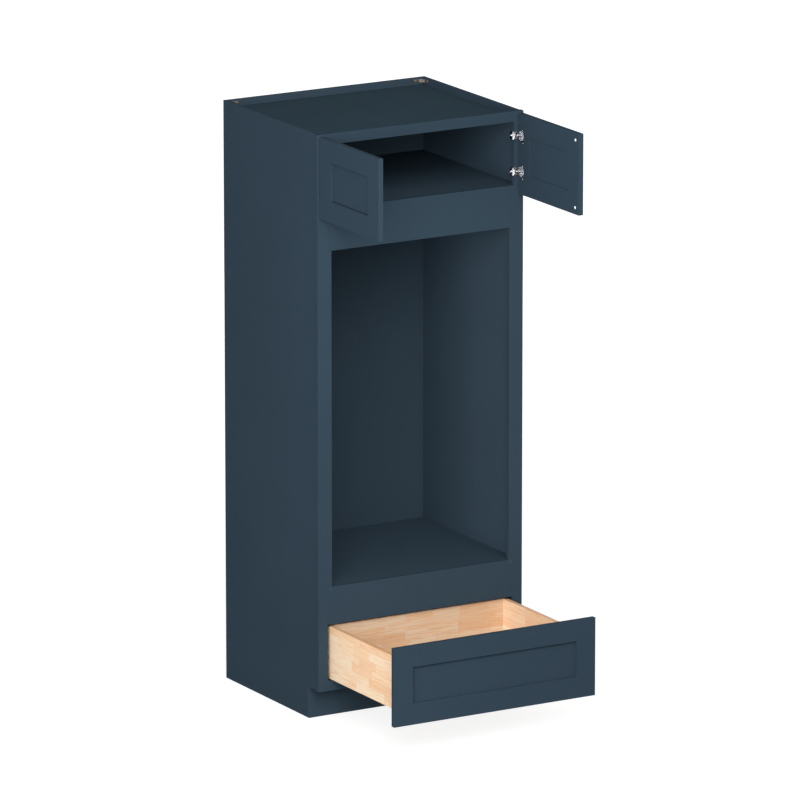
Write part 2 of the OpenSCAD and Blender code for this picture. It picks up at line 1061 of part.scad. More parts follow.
module lock_lever(side) {
    color(lock_colour) pulled() on_side(side)
        translate([-slide_x + lever_pin_x, lock_y + lever_pin_y, box_bottom_z - lock_h / 2 - lever_t / 2])
            difference() {
                union() {
                    cylinder(r = lever_eye_r, h = lever_t);
                    board([0, -lever_arm_w / 2, 0], [lever_reach, lever_arm_w, lever_t]);
                    translate([lever_reach, 0, 0])
                        cylinder(r = lever_tip_r, h = lever_t);
                }
                translate([0, 0, -over])
                    cylinder(r = lever_pin_r + pin_play, h = lever_t + 2 * over);
            }
}

module left_lock_lever() {
    lock_lever(-1);
}

module right_lock_lever() {
    lock_lever(1);
}

// Slides. A channel has its slot on top; its low corner is the origin
module channel(length) {
    difference() {
        cube([slide_w, length, channel_h]);
        board([slide_wall, -over, slide_wall],
            [slide_w - 2 * slide_wall, length + 2 * over, channel_h - 2 * slide_wall]);
        board([(slide_w - slide_slot) / 2, -over, slide_wall], [slide_slot, length + 2 * over, channel_h]);
    }
}

module at_rail_screws() {
    for (side = [-1, 1]) {
        for (share = rail_screw_shares) {
            translate([side * slide_x, rail_y + rail_len * share, drawer_open_z])
                children();
        }
    }
}

module slide_rail(side) {
    color(nickel)
        difference() {
            translate([side * slide_x - slide_w / 2, rail_y, drawer_open_z])
                channel(rail_len);
            at_rail_screws()
                flat_hole(slide_wall);
        }
}

module slide_middle(side) {
    foot_z = drawer_open_z + slide_wall + slide_play;
    head_z = box_bottom_z - slide_wall - slide_play - foot_h;
    color(nickel) pulled(middle_travel_share)
        translate([side * slide_x, middle_y, 0])
            union() {
                board([-foot_w / 2, 0, foot_z], [foot_w, middle_len, foot_h]);
                board([-neck_w / 2, 0, foot_z], [neck_w, middle_len, head_z + foot_h - foot_z]);
                board([-foot_w / 2, 0, head_z], [foot_w, middle_len, foot_h]);
            }
}

module slide_runner(side) {
    color(nickel) pulled()
        translate([side * slide_x - slide_w / 2, runner_y, box_bottom_z])
            mirror([0, 0, 1])
                channel(box_back_y - runner_y);
}

module left_slide_rail() {
    slide_rail(-1);
}

module right_slide_rail() {
    slide_rail(1);
}

module left_slide_middle() {
    slide_middle(-1);
}

module right_slide_middle() {
    slide_middle(1);
}

module left_slide_runner() {
    slide_runner(-1);
}

module right_slide_runner() {
    slide_runner(1);
}

left_side_panel();
right_side_panel();
back_panel();
top_panel();
upper_deck();
oven_deck();
bottom_deck();
toe_kick_board();
left_frame_stile();
right_frame_stile();
top_frame_rail();
upper_frame_rail();
lower_frame_rail();
bottom_frame_rail();
left_bay_strip();
right_bay_strip();
hanging_rail();
left_oven_deck_cleat();
right_oven_deck_cleat();
corner_braces();
cabinet_screws();
left_door_hinge_stile();
left_door_lock_stile();
left_door_top_rail();
left_door_bottom_rail();
left_door_panel();
left_door_bumpers();
left_hinge_cups();
left_hinge_arms();
left_door_screws();
right_door_hinge_stile();
right_door_lock_stile();
right_door_top_rail();
right_door_bottom_rail();
right_door_panel();
right_door_bumpers();
right_hinge_cups();
right_hinge_arms();
right_door_screws();
drawer_front_left_stile();
drawer_front_right_stile();
drawer_front_top_rail();
drawer_front_bottom_rail();
drawer_front_panel();
drawer_bumpers();
drawer_left_side();
drawer_right_side();
drawer_box_front();
drawer_box_back();
drawer_bottom();
drawer_screws();
drawer_locks();
left_slide_rail();
right_slide_rail();
left_slide_middle();
right_slide_middle();
left_slide_runner();
right_slide_runner();
left_lock_lever();
right_lock_lever();
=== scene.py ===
# %% [markdown]
# # A tall kitchen cabinet for a built-in microwave and oven
#
# This lesson dresses a finished cabinet model. The construction is already there as solid pieces
# at their real size: a case with a face frame, two small framed doors, an open bay and a wooden
# drawer. What is missing is what the eye wants: edges that catch the light, satin paint, lacquered
# wood with its glued staves, nickel hinges and soft bumpers. Every length below is in metres.

# %% Load the frame and the tools
import json
import math

import bmesh
import bpy
import numpy as np
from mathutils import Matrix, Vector

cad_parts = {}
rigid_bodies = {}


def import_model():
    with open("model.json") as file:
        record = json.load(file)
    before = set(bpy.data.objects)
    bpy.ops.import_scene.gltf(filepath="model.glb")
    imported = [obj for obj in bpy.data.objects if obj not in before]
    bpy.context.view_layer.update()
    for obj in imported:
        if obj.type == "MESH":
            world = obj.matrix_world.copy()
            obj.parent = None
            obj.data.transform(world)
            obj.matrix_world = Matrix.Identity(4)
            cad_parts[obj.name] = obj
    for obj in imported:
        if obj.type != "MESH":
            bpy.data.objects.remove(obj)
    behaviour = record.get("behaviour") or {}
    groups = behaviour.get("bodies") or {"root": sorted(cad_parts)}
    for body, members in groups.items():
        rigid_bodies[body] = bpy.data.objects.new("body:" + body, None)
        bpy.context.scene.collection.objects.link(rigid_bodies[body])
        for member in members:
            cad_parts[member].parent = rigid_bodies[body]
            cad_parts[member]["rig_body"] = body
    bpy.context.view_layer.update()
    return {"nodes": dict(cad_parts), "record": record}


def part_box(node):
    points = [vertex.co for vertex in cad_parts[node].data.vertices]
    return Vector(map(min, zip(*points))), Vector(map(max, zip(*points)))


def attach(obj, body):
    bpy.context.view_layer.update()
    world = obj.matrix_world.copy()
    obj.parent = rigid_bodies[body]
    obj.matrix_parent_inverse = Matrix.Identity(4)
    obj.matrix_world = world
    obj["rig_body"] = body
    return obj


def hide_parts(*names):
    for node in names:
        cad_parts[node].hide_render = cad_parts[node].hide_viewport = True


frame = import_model()
nodes = frame["nodes"]
scene = bpy.context.scene
MM = 0.001

# %% [markdown]
# ## The camera
#
# The picture of the cabinet was taken from far away with a long lens, so its upright edges stay
# almost parallel. A camera close by with a wide lens would make them lean. The camera therefore
# stands some 30 m off, to the left of the cabinet's front, and so high that it looks down a little.
# Two angles turn it: azimuth round the upright axis, and elevation above the floor.

# %% Camera
CAMERA_AZIMUTH = math.radians(-30.175)
CAMERA_ELEVATION = math.radians(14.038)
CAMERA_PLACE = Vector((-14.40336, -25.30997, 8.26349))
CAMERA_LENS_MM = 373.99
CAMERA_SENSOR_MM = 36.0
CAMERA_CLIP_END = 200.0
CABINET_MIDDLE = Vector((0, -0.4, 1.0))


def look_direction(azimuth, elevation):
    """The way a camera looks: azimuth 0 is along +Y, and a positive elevation looks down."""
    return Vector((
        -math.sin(azimuth) * math.cos(elevation),
        math.cos(azimuth) * math.cos(elevation),
        -math.sin(elevation),
    ))


def new_object(name, data):
    """An object with that data at the origin, linked to the scene."""
    thing = bpy.data.objects.new(name, data)
    scene.collection.objects.link(thing)
    return thing


def turn_towards(thing, direction):
    """Turns a camera or a lamp, which looks along its own -Z, so that it looks that way."""
    thing.rotation_mode = "QUATERNION"
    thing.rotation_quaternion = direction.to_track_quat("-Z", "Y")


camera_data = bpy.data.cameras.new("camera")
camera_data.lens = CAMERA_LENS_MM
camera_data.sensor_width = CAMERA_SENSOR_MM
camera_data.clip_end = CAMERA_CLIP_END
camera = new_object("camera", camera_data)
camera.location = CAMERA_PLACE
turn_towards(camera, look_direction(CAMERA_AZIMUTH, CAMERA_ELEVATION))
bpy.context.scene.camera = camera
print("camera is", round((CAMERA_PLACE - CABINET_MIDDLE).length, 2), "m from the cabinet")

# %% [markdown]
# ## Helpers for shader nodes
#
# Paint, wood and metal all vary a little from place to place, so every finish below is a small tree
# of shader nodes. Each node could be made and linked by hand, at five lines a node. Some helpers
# keep a tree as short to write as a sum on paper: each makes one node, feeds it with numbers or
# with the results of other nodes, and hands back its result.

# %% Node helpers


def feed(tree, node, inputs):
    """Sets inputs, found by name or number, to a value or to the socket that feeds them."""
    for key, value in inputs.items():
        if isinstance(value, bpy.types.NodeSocket):
            tree.links.new(value, node.inputs[key])
        else:
            node.inputs[key].default_value = value


def add(tree, kind, inputs, **settings):
    """A node of that kind with those inputs. settings are its properties."""
    node = tree.nodes.new(kind)
    for key, value in settings.items():
        setattr(node, key, value)
    feed(tree, node, inputs)
    return node


def new_material(name):
    """An empty node material, its node tree and its Principled shader."""
    material = bpy.data.materials.new(name)
    material.use_nodes = True
    tree = material.node_tree
    return material, tree, tree.nodes["Principled BSDF"]


def math_node(tree, operation, a, b=0.0):
    """One sum: operation is a Math node's, a and b are numbers or sockets."""
    return add(tree, "ShaderNodeMath", {0: a, 1: b}, operation=operation).outputs[0]


def to_range(tree, value, low, high, out_low, out_high):
    """The value moved from one range to another."""
    inputs = {0: value, 1: low, 2: high, 3: out_low, 4: out_high}
    return add(tree, "ShaderNodeMapRange", inputs).outputs[0]


def blend_colours(tree, factor, first, second):
    """Two colours mixed. A Mix node has its colours at inputs 6 and 7 and their mix at output 2."""
    inputs = {0: factor, 6: first, 7: second}
    return add(tree, "ShaderNodeMix", inputs, data_type="RGBA").outputs[2]


def object_place(tree):
    """The place on the object, in metres from its origin."""
    return tree.nodes.new("ShaderNodeTexCoord").outputs["Object"]


def split(tree, vector):
    """The three parts of a vector."""
    return add(tree, "ShaderNodeSeparateXYZ", {"Vector": vector}).outputs


def colour(red, green, blue):
    """An sRGB colour in steps of 0 to 255, as the linear colour that shaders work in.

    The curve is sRGB's own: a straight line in the darkest part and a power of 2.4 above it.
    """
    share = np.array([red, green, blue]) / 255
    linear = np.where(share <= 0.04045, share / 12.92, ((share + 0.055) / 1.055) ** 2.4)
    return (*linear.tolist(), 1.0)


print("a grey of 128 in 255 is", round(colour(128, 128, 128)[0], 3), "in linear light")

# %% [markdown]
# ## Floor and sky
#
# The cabinet stands on a plain pale floor in front of nothing at all. A floor that is really white
# would have to be lit so strongly that the paint turned pale, so the camera is shown a floor that
# gives off part of its white by itself. Light Path tells the material who is looking: the object
# still gets only the soft light that the floor would throw back. Close to the cabinet the floor
# gives off less, which leaves room for a faint shadow. Further out it gives off all of its white,
# and so meets the sky without a line. The sky is white to the camera too, and weak to the rest.

# %% Floor and sky
WHITE = (1, 1, 1, 1)
FLOOR_SIZE = 60.0
FLOOR_GREY = (0.25, 0.25, 0.25, 1)
FLOOR_ROUGHNESS = 0.9
FLOOR_OWN_LIGHT = 0.84
FAR_OWN_LIGHT = 1.0
POOL_EDGE = (2.5, 7.0)
SKY_STRENGTH = 0.3


def looked_at(tree):
    """1 on rays from the camera, straight or by way of gloss or glass, else 0."""
    rays = tree.nodes.new("ShaderNodeLightPath").outputs
    seen = math_node(tree, "MAXIMUM", rays["Is Camera Ray"], rays["Is Glossy Ray"])
    return math_node(tree, "MAXIMUM", seen, rays["Is Transmission Ray"])


floor_mesh = bpy.data.meshes.new("floor")
half = FLOOR_SIZE / 2
floor_mesh.from_pydata(
    [(-half, -half, 0), (half, -half, 0), (half, half, 0), (-half, half, 0)], [], [(0, 1, 2, 3)]
)
floor = new_object("floor", floor_mesh)

floor_material, tree, shader = new_material("pale_floor")
length = add(tree, "ShaderNodeVectorMath", {0: object_place(tree)}, operation="LENGTH")
own_light = to_range(tree, length.outputs["Value"], *POOL_EDGE, FLOOR_OWN_LIGHT, FAR_OWN_LIGHT)
feed(tree, shader, {
    "Base Color": FLOOR_GREY,
    "Roughness": FLOOR_ROUGHNESS,
    "Emission Color": WHITE,
    "Emission Strength": math_node(tree, "MULTIPLY", looked_at(tree), own_light),
})
floor_mesh.materials.append(floor_material)

world = bpy.data.worlds.new("studio")
world.use_nodes = True
scene.world = world
tree = world.node_tree
extra = math_node(tree, "MULTIPLY", looked_at(tree), 1 - SKY_STRENGTH)
feed(tree, tree.nodes["Background"], {
    "Color": WHITE,
    "Strength": math_node(tree, "ADD", extra, SKY_STRENGTH),
})
scene.view_settings.view_transform = "Standard"
print("floor of", FLOOR_SIZE, "m; it gives off", FLOOR_OWN_LIGHT, "of its white near the cabinet")

# %% [markdown]
# ## Lamps
#
# The light in the picture is soft and comes mostly from the left of the front, and no shadow on
# the cabinet has an edge. Big square lamps do that. The strongest stands on the camera's side, one
# low and further round, and one high up. Two more make sure that the right side and the back can be
# seen when one walks round the cabinet. The one behind isn't mirrored in gloss, because it would
# draw white lines along the upper edges.

# %% Lamps
LAMP_DISTANCE = 6.5
LAMP_SIZE = 3.0
# Name, azimuth and elevation in degrees, and power in watts
LAMPS = (
    ("key_light", -30, 25, 270),
    ("side_light", -55, 3, 180),
    ("high_light", -5, 50, 95),
    ("fill_light", 85, 4, 140),
    ("back_light", 150, 6, 90),
)


def lamp(name, azimuth, elevation, power):
    """A square soft lamp of that many watts, which looks at the cabinet's middle.

    It stands where a camera of these two angles, in degrees, would: azimuth 0 is in front of the
    cabinet, and -90 on its left.
    """
    data = bpy.data.lights.new(name, "AREA")
    data.size = LAMP_SIZE
    data.energy = power
    lamp_object = new_object(name, data)
    way = look_direction(math.radians(azimuth), math.radians(elevation))
    lamp_object.location = CABINET_MIDDLE - LAMP_DISTANCE * way
    turn_towards(lamp_object, CABINET_MIDDLE - lamp_object.location)
    return lamp_object


lamps = {name: lamp(name, *angles_and_power) for name, *angles_and_power in LAMPS}
lamps["back_light"].visible_glossy = False
print(len(lamps), "lamps, each", LAMP_DISTANCE, "m from the cabinet's middle")

# %% [markdown]
# ## Satin paint
#
# The cabinet is sprayed with a dark blue-grey satin paint. Up close such a paint has a very fine
# ripple, like orange peel, and its gloss isn't quite even. The grain of the wood below still shows
# a little, along each board. A single flat colour would look like plastic. The paint is therefore
# mixed from two close shades, its roughness wanders a little, and two noises make the bump: a fine
# even one for the spray, and one that is drawn out along the board for the grain.
#
# The colour below has no gloss of its own, and what gloss there is comes from a thin and very weak
# coat: the cabinet stands in front of white, and a stronger gloss would mirror that white and turn
# the paint pale.
#
# Inside the case and on the toe board the paint is made lighter, which is painted light for the
# shade inside the case. The side panels' inner faces are lightened the same way. The top panel lies
# in a well: its paint has no coat, and its colour is made a little lighter, also painted light.

# %% Paint
X, Y, Z = range(3)
PAINT = colour(52, 67.8, 80)
PAINT_SHADE = colour(50.5, 65.8, 77.6)
PLAIN_GAIN = (1.0, 1.0, 1.0)
# Painted light: gains that lighten the paint inside the case, on inner faces and on the top
INSIDE_PAINTED_LIGHT_GAIN = (1.17, 1.12, 1.1)
INNER_FACE_PAINTED_LIGHT_GAIN = (1.33, 1.27, 1.26)
TOP_PAINTED_LIGHT_GAIN = (1.1, 1.1, 1.04)
SIDE_INNER_FACE = 0.4021
GRAIN_ALONG = 12
GRAIN_ACROSS = 336
# Scale and detail of each noise
MOTTLE_NOISE = (2.5, 3)
GLOSS_NOISE = (9, 3)
PEEL_NOISE = (700, 1)
GRAIN_NOISE = (1, 3)
# From which range to which range a noise is moved
MOTTLE_TO_SHADE = (0.35, 0.65, 0, 1)
GLOSS_TO_ROUGHNESS = (0.3, 0.7, 0.4, 0.5)
PEEL_DEPTH = 0.00002
GRAIN_DEPTH = 0.00001
COAT = 0.02
COAT_ROUGHNESS = 0.45


def coordinates(tree, scale):
    """The place on the object, times a scale for each axis."""
    return add(tree, "ShaderNodeMapping", {"Vector": object_place(tree), "Scale": scale}).outputs[0]


def stretched(axis, across, along):
    """A scale for a pattern that is drawn out along that axis."""
    return [along if i == axis else across for i in (X, Y, Z)]


def noise(tree, vector, scale, detail, roughness=0.5):
    """A noise texture's value, 0 to 1."""
    inputs = {"Vector": vector, "Scale": scale, "Detail": detail, "Roughness": roughness}
    return add(tree, "ShaderNodeTexNoise", inputs).outputs["Fac"]


def bump(tree, height, depth, strength=1.0, normal=None):
    """A Bump node of that real depth, on top of another one's normal if that is given."""
    inputs = {"Height": height, "Distance": depth, "Strength": strength}
    if normal is not None:
        inputs["Normal"] = normal
    return add(tree, "ShaderNodeBump", inputs).outputs[0]


def times(shade, gain):
    """A colour with its red, green and blue each times its own gain."""
    return (*(c * g for c, g in zip(shade, gain)), 1.0)


def inside_case(tree):
    """1 on a side panel's inner face, else 0, worked out from the place alone."""
    from_middle = math_node(tree, "ABSOLUTE", split(tree, object_place(tree))[X])
    return math_node(tree, "LESS_THAN", from_middle, SIDE_INNER_FACE)


def paint_material(name, axis, gain=PLAIN_GAIN, painted_light_inside=False, coat=COAT):
    """Satin paint on a board whose grain runs along that axis.

    gain lightens it, and a side panel's inner face is lightened too: both are painted light.
    """
    material, tree, shader = new_material(name)
    place = object_place(tree)
    mottle = to_range(tree, noise(tree, place, *MOTTLE_NOISE), *MOTTLE_TO_SHADE)
    mixed = blend_colours(tree, mottle, times(PAINT, gain), times(PAINT_SHADE, gain))
    # Painted light: the inner face of the side panel is lightened
    if painted_light_inside:
        inner = [times(shade, INNER_FACE_PAINTED_LIGHT_GAIN) for shade in (PAINT, PAINT_SHADE)]
        mixed = blend_colours(tree, inside_case(tree), mixed, blend_colours(tree, mottle, *inner))
    gloss = noise(tree, place, *GLOSS_NOISE)
    peel = bump(tree, noise(tree, place, *PEEL_NOISE), PEEL_DEPTH)
    along_board = coordinates(tree, stretched(axis, GRAIN_ACROSS, GRAIN_ALONG))
    grain = noise(tree, along_board, *GRAIN_NOISE)
    feed(tree, shader, {
        "Base Color": mixed,
        "Roughness": to_range(tree, gloss, *GLOSS_TO_ROUGHNESS),
        "Specular IOR Level": 0.0,
        "Coat Weight": coat,
        "Coat Roughness": COAT_ROUGHNESS,
        "Normal": bump(tree, grain, GRAIN_DEPTH, normal=peel),
    })
    return material


paint = [paint_material(f"satin_paint_{'xyz'[axis]}", axis) for axis in (X, Y, Z)]
# The inside paint is lighter: painted light for the shade inside the case.
inside_paint = [
    paint_material(f"inside_paint_{'xyz'[axis]}", axis, INSIDE_PAINTED_LIGHT_GAIN) for axis in (X, Y, Z)
]
# The side panels' inner faces are lightened: painted light.
side_paint = paint_material("side_panel_paint", Z, painted_light_inside=True)
# The top panel's paint is lightened: painted light.
top_paint = paint_material("top_panel_paint", X, TOP_PAINTED_LIGHT_GAIN, coat=0)
print("paint for boards along", [m.name[-1] for m in paint])

# %% [markdown]
# ## Lacquered wood in staves
#
# The drawer box is made of boards that are glued from short lengths of pale wood, side by side and
# end to end. Each length has its own tone, and its own piece of grain. The pattern is worked out
# from the place on the board: the height picks a row, each row has its own length of stave and is
# shifted by its own random amount, and the place along the row picks a stave. A White Noise node
# turns the row and the stave into a random number, which picks the tone and moves the grain.
#
# The grain itself is two things. Growth rings cut lengthways give broad tongues of darker tone,
# which a sine of a drawn-out noise makes. Pores give short dark dashes, which a much finer noise
# makes. On the ends of the boards the cut fibres are darker, so the surface's own direction mixes
# in an end tone. The top edge of each board and a thin strip below it are mixed towards a brown
# line. The back and the bottom of the box get darker tones, painted shade, and the right side paler
# ones, painted light, for the light that falls inside the drawer.

# %% Wood
STAVE_HEIGHT = 0.0323
STAVE_LENGTHS = (0.1, 0.24)
ROW_SHIFT = 0.001
STAVE_SHIFT = 7.0
GRAIN_SHIFT = 9.0
LENGTH_DRAW = 1.9
SHIFT_DRAW = 3.7
FIGURE_DRAW = 0.5
WOOD_TONES = (
    (0.0, colour(249, 209, 169)),
    (0.25, colour(255, 225, 190)),
    (0.55, colour(255, 232, 201)),
    (0.8, colour(255, 222, 184)),
    (1.0, colour(248, 205, 164)),
)
RING_TONE = colour(244, 176, 122)
END_GRAIN = colour(228, 184, 140)
PORE = colour(176, 118, 74)
# Painted shade darkens the back and bottom boards; painted light pales the right side.
BACK_AND_BOTTOM_SHADE_GAIN = (0.68, 0.68, 0.69)
RIGHT_SIDE_LIGHT_GAIN = (1.0, 1.08, 1.18)
FIBRE_ALONG = 3.0
FIBRE_ACROSS = 48
RINGS = 7.0
# Scale, detail and roughness of each noise
FLOW_NOISE = (1.0, 4, 0.55)
STREAK_NOISE = (3.2, 3, 0.6)
PORE_NOISE = (12.0, 2, 0.6)
END_NOISE = (900, 3)
# From which range to which range each noise or draw is moved
WAVE_TO_RING = (-0.2, 1.0, 0, 1)
FIGURE_TO_RING = (0.2, 1, 0.1, 0.5)
STREAK_TO_RING_TONE = (0.5, 0.74, 0, 0.52)
PORE_TO_PORE_TONE = (0.62, 0.8, 0, 0.4)
END_TO_PORE_TONE = (0.35, 0.65, 0, 0.4)
FLOW_TO_ROUGHNESS = (0.3, 0.7, 0.4, 0.5)
GLUE_LINE = 0.0004
GLUE_SHARE = 0.3
TOP_LINE = 0.0012
TOP_LINE_SHARE = 0.55
END_COSINE = 0.7
WOOD_SPECULAR = 0.25
PORE_DEPTH = 0.00004
PORE_STRENGTH = 0.6


def ramp(tree, value, stops):
    """A colour ramp with these (place, colour) stops."""
    node = add(tree, "ShaderNodeValToRGB", {"Fac": value})
    elements = node.color_ramp.elements
    while len(elements) < len(stops):
        elements.new(0.5)
    for element, (place, shade) in zip(elements, stops):
        element.position = place
        element.color = shade
    return node.outputs[0]


def random_of(tree, *values):
    """A random number from up to three numbers: the same numbers give the same one."""
    vector = add(tree, "ShaderNodeCombineXYZ", dict(enumerate(values))).outputs[0]
    inputs = {"Vector": vector}
    return add(tree, "ShaderNodeTexWhiteNoise", inputs, noise_dimensions="3D").outputs["Value"]


def to_whole(tree, value):
    """How far a number is from the nearest whole number."""
    part = math_node(tree, "FRACT", value)
    return math_node(tree, "MINIMUM", part, math_node(tree, "SUBTRACT", 1, part))


def stave_wood(name, along, across, seed, top=None, gain=PLAIN_GAIN):
    """Wood glued from staves: along is the axis that the grain follows, across the board's width.

    top is the height of the board's top edge, where the brown line is. gain scales the tones:
    below 1 it is painted shade, above 1 painted light.
    """
    material, tree, shader = new_material(name)
    place = split(tree, object_place(tree))
    u, v, w = place[along], place[across], place[X + Y + Z - along - across]
    rows = math_node(tree, "DIVIDE", math_node(tree, "ADD", v, seed * ROW_SHIFT), STAVE_HEIGHT)
    row = math_node(tree, "FLOOR", rows)
    size = to_range(tree, random_of(tree, row, seed, LENGTH_DRAW), 0, 1, *STAVE_LENGTHS)
    shift = math_node(tree, "MULTIPLY", random_of(tree, row, seed, SHIFT_DRAW), STAVE_SHIFT)
    lengths = math_node(tree, "ADD", math_node(tree, "DIVIDE", u, size), shift)
    length = math_node(tree, "FLOOR", lengths)
    tone = random_of(tree, row, length, seed)
    figure = random_of(tree, length, row, seed + FIGURE_DRAW)

    moved = math_node(tree, "MULTIPLY", tone, GRAIN_SHIFT)
    fibre = add(tree, "ShaderNodeCombineXYZ", {
        X: math_node(tree, "ADD", math_node(tree, "MULTIPLY", u, FIBRE_ALONG), moved),
        Y: math_node(tree, "ADD", math_node(tree, "MULTIPLY", v, FIBRE_ACROSS), moved),
        Z: math_node(tree, "MULTIPLY", w, FIBRE_ACROSS),
    }).outputs[0]
    flow = noise(tree, fibre, *FLOW_NOISE)
    streaks = noise(tree, fibre, *STREAK_NOISE)
    pores = noise(tree, fibre, *PORE_NOISE)
    wave = math_node(tree, "SINE", math_node(tree, "MULTIPLY", flow, RINGS * 2 * math.pi))
    rings = math_node(
        tree, "MULTIPLY",
        to_range(tree, wave, *WAVE_TO_RING), to_range(tree, figure, *FIGURE_TO_RING),
    )
    ring_tone = times(RING_TONE, gain)
    body = ramp(tree, tone, [(stop, times(shade, gain)) for stop, shade in WOOD_TONES])
    body = blend_colours(tree, rings, body, ring_tone)
    body = blend_colours(tree, to_range(tree, streaks, *STREAK_TO_RING_TONE), body, ring_tone)
    body = blend_colours(tree, to_range(tree, pores, *PORE_TO_PORE_TONE), body, PORE)

    to_row_edge = math_node(tree, "MULTIPLY", to_whole(tree, rows), STAVE_HEIGHT)
    to_stave_end = math_node(tree, "MULTIPLY", to_whole(tree, lengths), size)
    line = math_node(tree, "MINIMUM", to_row_edge, to_stave_end)
    body = blend_colours(tree, to_range(tree, line, 0, GLUE_LINE, GLUE_SHARE, 0), body, PORE)
    # The top edge and a thin strip below it are mixed towards the dark pore tone.
    if top is not None:
        brown = to_range(tree, v, top - TOP_LINE, top - TOP_LINE / 3, 0, TOP_LINE_SHARE)
        body = blend_colours(tree, brown, body, PORE)
    facing = split(tree, tree.nodes.new("ShaderNodeNewGeometry").outputs["Normal"])[along]
    on_end = math_node(tree, "GREATER_THAN", math_node(tree, "ABSOLUTE", facing), END_COSINE)
    fibres_cut = to_range(tree, noise(tree, object_place(tree), *END_NOISE), *END_TO_PORE_TONE)
    end_tone = blend_colours(tree, fibres_cut, END_GRAIN, PORE)
    feed(tree, shader, {
        "Base Color": blend_colours(tree, on_end, body, end_tone),
        "Roughness": to_range(tree, flow, *FLOW_TO_ROUGHNESS),
        "Specular IOR Level": WOOD_SPECULAR,
        "Normal": bump(tree, pores, PORE_DEPTH, PORE_STRENGTH),
    })
    return material


box_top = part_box("drawer_left_side")[1][Z]
# The back and bottom boards are darkened as painted shade, the right side paled as painted light.
wood = {
    "drawer_left_side": stave_wood("stave_wood_left", Y, Z, seed=1.3, top=box_top),
    "drawer_right_side": stave_wood("stave_wood_right", Y, Z, 5.9, box_top, RIGHT_SIDE_LIGHT_GAIN),
    "drawer_box_front": stave_wood("stave_wood_front", X, Z, seed=2.1, top=box_top),
    "drawer_box_back": stave_wood("stave_wood_back", X, Z, 8.4, box_top, BACK_AND_BOTTOM_SHADE_GAIN),
    "drawer_bottom": stave_wood("stave_wood_bottom", X, Y, seed=4.6, gain=BACK_AND_BOTTOM_SHADE_GAIN),
}
stave_lengths = [round(length / MM) for length in STAVE_LENGTHS]
print("a stave is", round(STAVE_HEIGHT / MM), "mm high and", stave_lengths, "mm long")

# %% [markdown]
# ## Metal, rubber and plastic
#
# The hinges are nickel-plated sheet, so they are bright, with the faintest clouding. The braces in
# the top are plain plated strip and dull, and so are the slides. The bumpers are soft and milky,
# and the locks under the drawer are moulded plastic with a fine grain.

# %% Metal, rubber and plastic
CLOUD_SHADE = 0.88
CLOUD_DETAIL = 4
CLOUD_TO_SHADE = (0.3, 0.7, 0, 1)
SCRATCH_ALONG = 60
SCRATCH_ACROSS = 2200
SCRATCH_DEPTH = 0.00001
SCRATCH_STRENGTH = 0.5
PLASTIC_GRAIN_DEPTH = 0.00003
PLASTIC_GRAIN_STRENGTH = 0.7
# Scale and detail of each noise
SCRATCH_NOISE = (1, 2)
RUBBER_CLOUDS = (260, 2)
PLASTIC_CLOUDS = (60, 2)
PLASTIC_GRAIN = (1500, 2)


def steel_material(name, shade, roughness, cloud_scale, scratch_axis):
    """Plated sheet steel with clouded gloss and fine drawn scratches along one axis."""
    material, tree, shader = new_material(name)
    clouds = noise(tree, object_place(tree), cloud_scale, CLOUD_DETAIL)
    clouds = to_range(tree, clouds, *CLOUD_TO_SHADE)
    drawn_out = coordinates(tree, stretched(scratch_axis, SCRATCH_ACROSS, SCRATCH_ALONG))
    scratches = noise(tree, drawn_out, *SCRATCH_NOISE)
    feed(tree, shader, {
        "Metallic": 1.0,
        "Base Color": blend_colours(tree, clouds, shade, times(shade, (CLOUD_SHADE,) * 3)),
        "Roughness": to_range(tree, clouds, 0, 1, *roughness),
        "Normal": bump(tree, scratches, SCRATCH_DEPTH, SCRATCH_STRENGTH),
    })
    return material


nickel = steel_material(
    "bright_nickel", colour(212, 213, 215), roughness=(0.14, 0.26), cloud_scale=90, scratch_axis=Z
)
dull_steel = steel_material(
    "dull_plate", colour(150, 143, 134), roughness=(0.34, 0.5), cloud_scale=120, scratch_axis=X
)
zinc = steel_material(
    "zinc_plate", colour(196, 199, 202), roughness=(0.3, 0.44), cloud_scale=60, scratch_axis=Y
)

bumper_rubber, tree, shader = new_material("milky_rubber")
clouds = noise(tree, object_place(tree), *RUBBER_CLOUDS)
feed(tree, shader, {
    "Base Color": blend_colours(tree, clouds, colour(240, 242, 243), colour(228, 232, 234)),
    "Roughness": 0.28,
    "Subsurface Weight": 0.4,
    "Subsurface Scale": 0.002,
})

grey_plastic, tree, shader = new_material("moulded_plastic")
clouds = noise(tree, object_place(tree), *PLASTIC_CLOUDS)
fine = noise(tree, object_place(tree), *PLASTIC_GRAIN)
feed(tree, shader, {
    "Base Color": blend_colours(tree, clouds, colour(128, 131, 134), colour(118, 121, 125)),
    "Roughness": 0.5,
    "Normal": bump(tree, fine, PLASTIC_GRAIN_DEPTH, PLASTIC_GRAIN_STRENGTH),
})
print("metals:", nickel.name, dull_steel.name, zinc.name)

# %% [markdown]
# ## Boards with eased edges
#
# No painted or lacquered board has a razor edge: a sanding block takes it off before the finish
# goes on, and the paint rounds it further. That small round is what draws the thin lines of light
# along a cabinet. Where two boards meet in one plane there is no such line, because the joint was
# sanded flat before the paint went on.
#
# A Bevel on every sharp edge would groove all those joints. So each board gets a copy whose edges
# are judged one by one. The copy is merged first, because the solid's mesh is loose triangles, and
# flat areas are joined into whole faces. It is then cut where a neighbour's end meets it, so that
# one long edge can be free on one stretch and joined on the next. From the middle of each edge two
# test points are taken, a hair past one face and a hair below the other. If one of them lies in a
# neighbour, the surface runs on there, and the edge stays sharp. All other outer edges get a bevel
# weight of 1.

